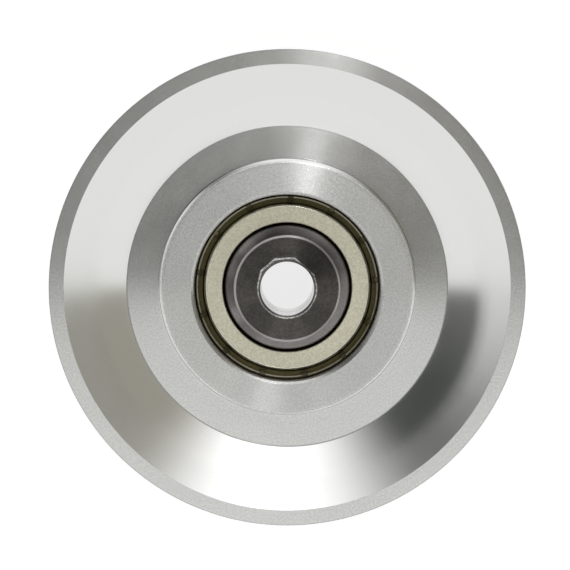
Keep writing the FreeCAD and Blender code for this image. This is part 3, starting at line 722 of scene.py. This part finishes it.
# The countersink's rim: straight chords between its corners on one side, a circle on the other. Points near
# the rim are drawn out or in to it, fading towards the hole and across the end face.
def sinkField(b):
    angles = np.radians([corner[0] for corner in b["sinkCorners"]])
    radii = np.array([corner[1] for corner in b["sinkCorners"]])
    plain = b["hole"] + b["sink"]
    within, beyond, far = b["sinkFade"]
    deep, shallow = b["sinkBelow"]

    def field(points):
        radius = np.hypot(points[..., 0], points[..., 1])
        angle = np.arctan2(points[..., 1], points[..., 0]) % (2 * np.pi)
        rimRadius = np.full(radius.shape, plain)
        for start, end, first, last in zip(angles[:-1], angles[1:], radii[:-1], radii[1:]):
            inside = (angle >= start) & (angle <= end)
            across = first * np.sin(angle - start) + last * np.sin(end - angle) + 1e-9
            rimRadius = np.where(inside, first * last * math.sin(end - start) / across, rimRadius)
        fade = rise(radius, b["hole"], plain - within) * (1 - rise(radius, plain + beyond, plain + far))
        share = fade * rise(points[..., 2], b["end"] - deep, b["end"] - shallow)
        scale = (radius + (rimRadius - plain) * share) / radius
        return np.stack([points[..., 0] * scale, points[..., 1] * scale, points[..., 2]], -1)

    return field


# The number of the bush's metal: 0 for its own, 1 for the countersink.
def bushZone(radius, height):
    low, high, above = bushSizes["sinkBand"]
    return ((radius < high) & (radius > low) & (height > above)).astype(int)


bushLine = refined(*bushOutline(bushSizes), bushSizes["spacing"])
bushAngles = evenAngles(bushSizes["segments"])
bushMesh = turnedSurface("bush_front", bushLine, bushAngles, sinkField(bushSizes), bushZone)
asPiece("axle_bush_front", bushMesh, [bushMetal, sinkMetal], "axle", "bush_steel", "bush_front")
rearBush = turnedSurface("bush_rear", bushLine, bushAngles, halfTurned())
asPiece("axle_bush_rear", rearBush, [bushMetal], "axle", "bush_steel", "bush_rear")
print("bushes", len(bushMesh.polygons) * 2, "triangles each")


# The pieces whose meshes are kept from the frame.
clipMetal = turnedMetal("clip_steel", {
    **bushFinish, "colour": (0.12, 0.12, 0.125), "dark": (0.06, 0.06, 0.065), "roughness": 0.42, "paleEdges": [],
})
cageMetal = turnedMetal("cage_steel", {**ringFinish, "colour": (0.6, 0.57, 0.5), "dark": (0.45, 0.42, 0.36)})
ballMetal = turnedMetal("ball_steel", {
    **ringFinish, "colour": (0.8, 0.8, 0.8), "dark": (0.7, 0.7, 0.7), "roughness": 0.08, "roughShare": 0.02,
    "anisotropy": 0.0, "grainDepth": 0.0, "streakDepth": 0.0, "feedDepth": 0.0,
})
kept = {"circlip": clipMetal, "cage_front": cageMetal, "cage_rear": cageMetal}
for number in range(1, 9):
    kept[f"rivet_{number}"] = cageMetal
    kept[f"ball_{number}"] = ballMetal
for node, material in kept.items():
    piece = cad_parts[node]
    piece.data.materials.clear()
    piece.data.materials.append(material)
print("kept pieces", len(kept))


# The room is read by two angles in degrees: side runs round the wheel's axis from +X, and tilt is the
# distance from the axis. A pair of angles is where a blend begins and ends.
studio = {
    "lean": 3.2,                                   # how far the table's plane tips in the wheel's own frame
    "horizon": 0.03,                               # half width of the blend between table and room
    "table": (0.835, 0.84, 0.825), "tableWhite": (74.0, 84.0),
    "rightNear": (0.13, 0.125, 0.11), "rightLow": (0.33, 0.316, 0.272), "right": (0.252, 0.245, 0.207),
    "leftNear": (0.125, 0.126, 0.116), "leftLow": (0.145, 0.148, 0.14), "left": (0.062, 0.066, 0.060),
    "nearTilts": (18.0, 42.0), "rightTilts": (46.0, 60.0), "leftSides": (148.0, 182.0),
    "wallSides": (55.0, 120.0),                    # from the right wall over to the left
    "box": 1.35, "boxSides": (44.0, 77.0, 91.0, 131.5), "boxTilts": (26.0, 40.0),
    "whiteSides": (110.0, 178.0), "whiteTilts": (74.0, 59.0), "whiteBlur": 4.0,
    "lamp": {"azimuth": 78.0, "tilt": 28.0, "distance": 1.0, "size": (0.05, 0.22), "radiance": 14.0},
    "floorColour": 0.90, "floorGlow": 0.78, "floorShown": 0.42, "floorHalf": 4.0, "floorGap": 0.00002,
    "camera": {"distance": 0.5, "above": 2.53, "aim": (-0.00042, 0.0006, 0.00975), "lens": 163.8,
               "sensor": 36.0, "nearest": 0.01},
}


def buildWorld(s):
    world = bpy.data.worlds.new("studio")
    scene.world = world
    world.use_nodes = True
    tree = world.node_tree
    tree.nodes.clear()
    x, y, z = addNode(tree, "SeparateXYZ", {0: addNode(tree, "TexCoord").outputs["Generated"]}).outputs
    lean = math.radians(s["lean"])
    above = plus(tree, times(tree, y, math.cos(lean)), times(tree, z, math.sin(lean)))
    side = calc(tree, "DEGREES", calc(tree, "ARCTAN2", above, x))
    tilt = calc(tree, "DEGREES", calc(tree, "ARCCOSINE", z))
    boxOn = times(tree, ramp(tree, side, *s["boxSides"][:2]), ramp(tree, side, *s["boxSides"][2:], 1.0, 0.0))
    boxOn = times(tree, boxOn, ramp(tree, tilt, *s["boxTilts"]))
    near = ramp(tree, tilt, *s["nearTilts"])
    rightWall = blendColour(tree, near, opaque(s["rightNear"]), opaque(s["rightLow"]))
    rightWall = blendColour(tree, ramp(tree, tilt, *s["rightTilts"]), rightWall, opaque(s["right"]))
    leftTurn = ramp(tree, side, *s["leftSides"], kind="LINEAR")
    leftWall = blendColour(tree, leftTurn, opaque(s["left"]), opaque(s["leftLow"]))
    leftWall = blendColour(tree, near, opaque(s["leftNear"]), leftWall)
    room = blendColour(tree, ramp(tree, side, *s["wallSides"]), rightWall, leftWall)
    room = blendColour(tree, boxOn, room, (s["box"], s["box"], s["box"], 1))
    edge = ramp(tree, side, *s["whiteSides"], *s["whiteTilts"])
    white = ramp(tree, tilt, minus(tree, edge, s["whiteBlur"]), plus(tree, edge, s["whiteBlur"]))
    room = blendColour(tree, white, room, (1, 1, 1, 1))
    sheet = blendColour(tree, ramp(tree, tilt, *s["tableWhite"]), opaque(s["table"]), (1, 1, 1, 1))
    colour = blendColour(tree, ramp(tree, above, -s["horizon"], s["horizon"]), sheet, room)
    background = addNode(tree, "Background", {"Color": colour, "Strength": 1.0})
    output = addNode(tree, "OutputWorld")
    tree.links.new(background.outputs[0], output.inputs[0])


# A lamp at a direction from the wheel: azimuth and tilt from the axis in degrees, distance and size in metres.
def buildLamp(name, s):
    width, depth = s["size"]
    lamp = bpy.data.lights.new(name, "AREA")
    lamp.shape = "RECTANGLE"
    lamp.size, lamp.size_y = width, depth
    lamp.energy = s["radiance"] * math.pi * width * depth
    piece = bpy.data.objects.new(name, lamp)
    azimuth, tilt = math.radians(s["azimuth"]), math.radians(s["tilt"])
    towards = Vector((math.sin(tilt) * math.cos(azimuth), math.sin(tilt) * math.sin(azimuth), math.cos(tilt)))
    piece.location = towards * s["distance"]
    piece.rotation_euler = towards.to_track_quat("Z", "Y").to_euler()
    piece.visible_camera = False
    scene.collection.objects.link(piece)


# White where the camera looks past the object, by a glow on top of a darker diffuse face that keeps its shadow.
def buildFloor(s):
    material = bpy.data.materials.new("floor_white")
    material.use_nodes = True
    tree = material.node_tree
    tree.nodes.clear()
    path = addNode(tree, "LightPath")
    seen = calc(tree, "MAXIMUM", path.outputs["Is Camera Ray"], path.outputs["Is Glossy Ray"])
    seen = calc(tree, "MAXIMUM", seen, path.outputs["Is Transmission Ray"])
    level = plus(tree, s["floorColour"], times(tree, seen, s["floorShown"] - s["floorColour"]))
    colour = addNode(tree, "CombineColor", {0: level, 1: level, 2: level}).outputs[0]
    diffuse = addNode(tree, "BsdfDiffuse", {"Color": colour})
    glow = addNode(tree, "Emission", {"Color": (1, 1, 1, 1), "Strength": times(tree, seen, s["floorGlow"])})
    both = addNode(tree, "AddShader")
    tree.links.new(diffuse.outputs[0], both.inputs[0])
    tree.links.new(glow.outputs[0], both.inputs[1])
    output = addNode(tree, "OutputMaterial")
    tree.links.new(both.outputs[0], output.inputs[0])
    half, low = s["floorHalf"], cadBox[0][2] - s["floorGap"]
    corners = [(-half, -half, low), (half, -half, low), (half, half, low), (-half, half, low)]
    mesh = bpy.data.meshes.new("floor")
    mesh.from_pydata(corners, [], [(0, 1, 2, 3)])
    mesh.materials.append(material)
    floor = bpy.data.objects.new("floor", mesh)
    scene.collection.objects.link(floor)


def buildCamera(s):
    camera = bpy.data.objects.new("camera", bpy.data.cameras.new("camera"))
    lean = math.radians(s["above"])
    towards = Vector((0, math.sin(lean), math.cos(lean)))
    camera.location = Vector(s["aim"]) + towards * s["distance"]
    camera.rotation_euler = (-lean, 0, 0)
    camera.data.lens = s["lens"]
    camera.data.sensor_width = s["sensor"]
    camera.data.clip_start = s["nearest"]
    scene.collection.objects.link(camera)
    scene.camera = camera


buildWorld(studio)
buildLamp("streak_lamp", studio["lamp"])
buildFloor(studio)
buildCamera(studio["camera"])
scene.view_settings.view_transform = "Standard"
print("studio ready")
